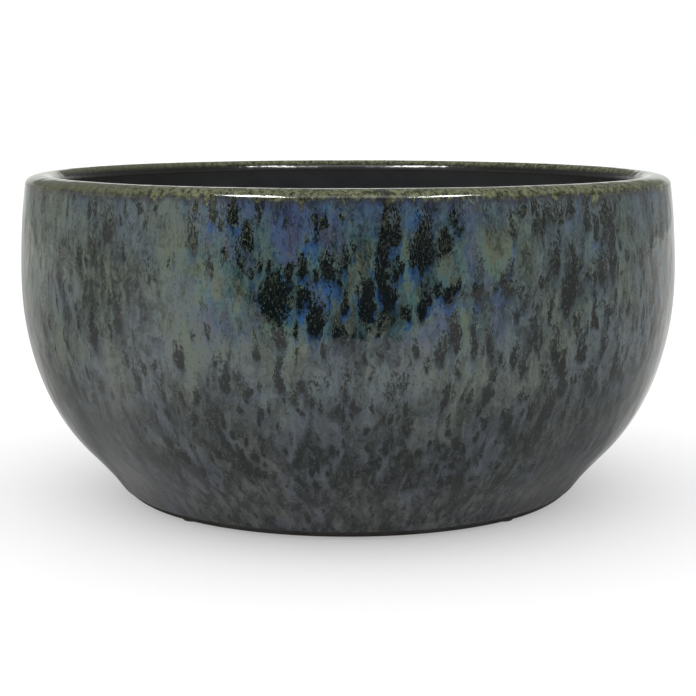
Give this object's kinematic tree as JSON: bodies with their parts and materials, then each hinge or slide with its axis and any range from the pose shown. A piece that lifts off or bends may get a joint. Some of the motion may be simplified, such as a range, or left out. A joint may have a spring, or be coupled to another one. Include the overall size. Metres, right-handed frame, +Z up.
{
  "type": "planter bowl",
  "caption": "Round glazed stoneware planter bowl with a full belly, a rounded lip, a turned foot ring and felt feet under it; it holds a plant pot or soil.",
  "frame": {"origin": "on the floor under the middle of the bowl, at the underside of the felt feet", "axes": "+Z up along the bowl's axis; the bowl looks the same all round, and -Y is the side that the picture shows"},
  "size_m": [0.31, 0.31, 0.153],
  "materials": {
    "clay": "bare dark stoneware, dry and fine-grained, seen on the foot ring and under the base",
    "mottled_glaze": "glossy reactive glaze, near-black with slate blue, teal and olive runs",
    "olive_glaze": "glossy olive-green dip over the lip, mottled, running into the glaze below",
    "dark_glaze": "satin anthracite liner glaze",
    "felt": "pressed grey felt, self-adhesive"
  },
  "bodies": {
    "root": {"stoneware_body": "clay", "outer_glaze": "mottled_glaze", "rim_glaze": "olive_glaze", "inner_glaze": "dark_glaze", "felt_foot_front_left": "felt", "felt_foot_front_right": "felt", "felt_foot_back_right": "felt", "felt_foot_back_left": "felt"}
  },
  "joints": []
}
